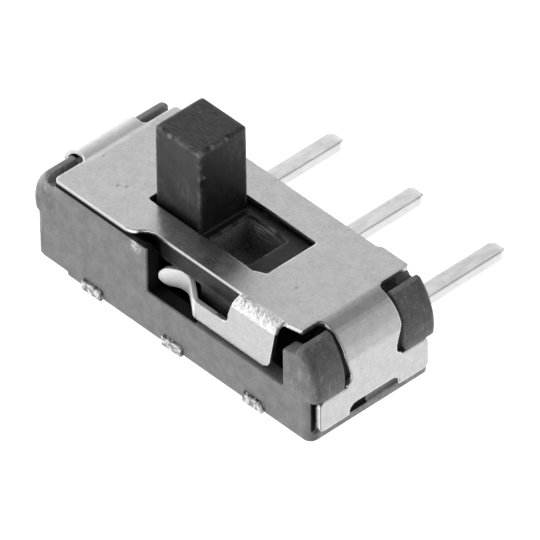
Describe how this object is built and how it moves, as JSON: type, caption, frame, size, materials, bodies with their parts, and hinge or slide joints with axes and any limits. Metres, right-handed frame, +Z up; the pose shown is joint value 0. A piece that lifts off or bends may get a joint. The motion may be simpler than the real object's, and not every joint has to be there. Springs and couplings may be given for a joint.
{
  "type": "slide switch",
  "caption": "Miniature right-angle slide switch: moulded housing, folded metal cover with a slot and detent arm, square sliding handle and a row of flat pins.",
  "frame": {"origin": "middle of the housing's underside, on the plane that the terminals lie flush in", "axes": "+Z up through the handle, +X along the slot in the direction the slider travels from rest, +Y the way the pins point"},
  "size_m": [0.0088, 0.0072, 0.0046],
  "materials": {
    "plated_steel": "satin nickel plate",
    "housing_plastic": "fine moulded texture",
    "slider_plastic": "fine moulded texture",
    "contact_strip": "plated spring strip",
    "tinned_metal": "tin plate"
  },
  "bodies": {
    "base": {"cover": "plated_steel", "housing": "housing_plastic", "terminal_left": "tinned_metal", "terminal_common": "tinned_metal", "terminal_right": "tinned_metal"},
    "slide": {"slider": "slider_plastic", "moving_contact": "contact_strip"}
  },
  "joints": [
    {"name": "slider_travel", "type": "slide", "parent": "base", "child": "slide", "axis": [1, 0, 0], "range_m": [0, 0.0019]}
  ]
}
